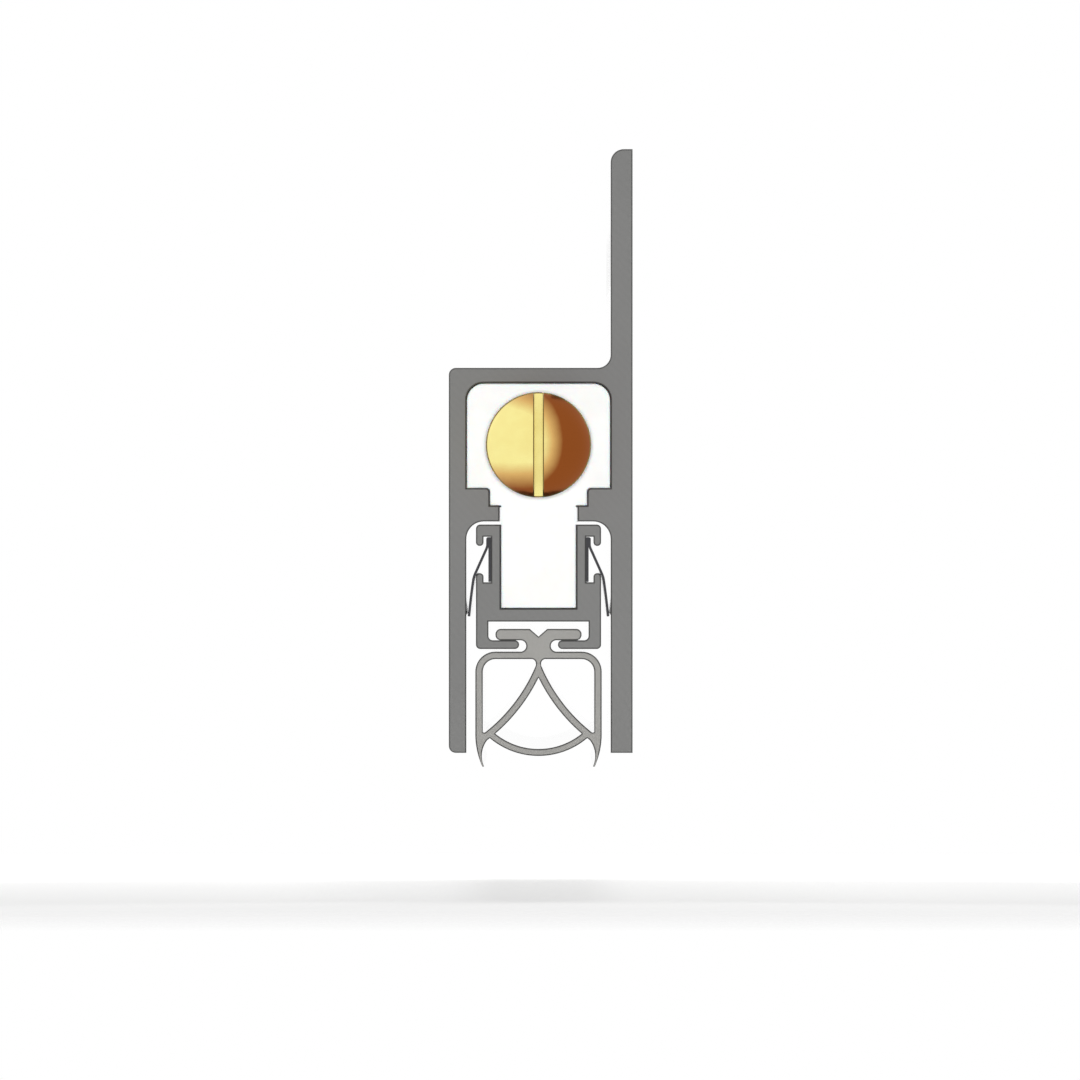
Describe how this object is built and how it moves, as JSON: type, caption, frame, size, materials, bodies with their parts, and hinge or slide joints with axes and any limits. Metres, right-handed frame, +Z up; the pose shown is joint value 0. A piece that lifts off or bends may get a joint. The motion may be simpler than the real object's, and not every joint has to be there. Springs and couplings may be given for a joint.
{
  "type": "automatic door bottom seal",
  "caption": "Face-fixed automatic door bottom seal: pressing the brass plunger lowers a soft hollow gasket from an aluminium casing with a tall fixing flange.",
  "frame": {"origin": "on the door face of the flange, at the casing's lower edge, half way along the seal", "axes": "+X into the door, +Y along the seal away from the plunger, +Z up"},
  "size_m": [0.021, 0.345, 0.0706],
  "materials": {
    "aluminium": "satin natural anodised extrusion",
    "rivet_aluminium": "plain drawn rivet",
    "silicone": "smooth matt extruded silicone",
    "fin_strip": "thin dark flexible strip",
    "brass": "turned and polished",
    "nylon": "moulded natural white nylon",
    "steel": "bright drawn steel",
    "spring_steel": "blued spring steel",
    "zinc_plate": "bright zinc plate"
  },
  "bodies": {
    "casing": {"casing": "aluminium", "guide_block": "nylon", "guide_block_screw": "zinc_plate", "fixed_block_1": "nylon", "fixed_block_2": "nylon", "fixed_block_screw_1": "zinc_plate", "fixed_block_screw_2": "zinc_plate", "leaf_rear_screw_1": "zinc_plate", "leaf_rear_screw_2": "zinc_plate", "leaf_spring_1": "spring_steel", "leaf_spring_2": "spring_steel", "return_spring_1": "spring_steel", "return_spring_2": "spring_steel"},
    "actuator": {"push_rod": "steel", "moving_block_1": "nylon", "moving_block_2": "nylon", "rod_spring_pin_1": "spring_steel", "rod_spring_pin_2": "spring_steel", "strut_upper_pin_1": "steel", "strut_upper_pin_2": "steel", "spring_collar_1": "steel", "spring_collar_2": "steel", "collar_screw_1": "zinc_plate", "collar_screw_2": "zinc_plate"},
    "knob": {"plunger_knob": "brass"},
    "carrier": {"carrier": "aluminium", "gasket": "silicone", "fin_left": "fin_strip", "fin_right": "fin_strip", "lift_bracket_1": "zinc_plate", "lift_bracket_2": "zinc_plate", "strut_lower_pin_1": "steel", "strut_lower_pin_2": "steel", "bracket_rivet_1": "rivet_aluminium", "bracket_rivet_2": "rivet_aluminium", "leaf_front_screw_1": "zinc_plate", "leaf_front_screw_2": "zinc_plate"},
    "strut_1": {"strut_1": "steel"},
    "strut_2": {"strut_2": "steel"}
  },
  "joints": [
    {"name": "plunger_press", "type": "slide", "parent": "casing", "child": "actuator", "axis": [0, 1, 0], "range_m": [0, 0.00814], "stiffness_N_per_m": 3700, "springref_m": -0.003, "deforming": ["return_spring_1", "return_spring_2"]},
    {"name": "knob_turn", "type": "hinge", "parent": "actuator", "child": "knob", "pos_m": [-0.01075, -0.17, 0.0352], "axis": [0, 1, 0], "continuous": true},
    {"name": "seal_drop", "type": "slide", "parent": "casing", "child": "carrier", "axis": [0, 0, -1], "range_m": [0, 0.015], "deforming": ["leaf_spring_1", "leaf_spring_2"]},
    {"name": "strut_1_swing", "type": "hinge", "parent": "actuator", "child": "strut_1", "pos_m": [-0.01075, -0.12736, 0.02895], "axis": [-1, 0, 0], "range_deg": [0, 29.07]},
    {"name": "strut_2_swing", "type": "hinge", "parent": "actuator", "child": "strut_2", "pos_m": [-0.01075, 0.0429, 0.02895], "axis": [-1, 0, 0], "range_deg": [0, 29.07]}
  ],
  "couplings": [
    {"joint": "seal_drop", "follows": "plunger_press", "ratio": 1.8423},
    {"joint": "strut_1_swing", "follows": "plunger_press", "rad_per_m": 62.32},
    {"joint": "strut_2_swing", "follows": "plunger_press", "rad_per_m": 62.32}
  ]
}
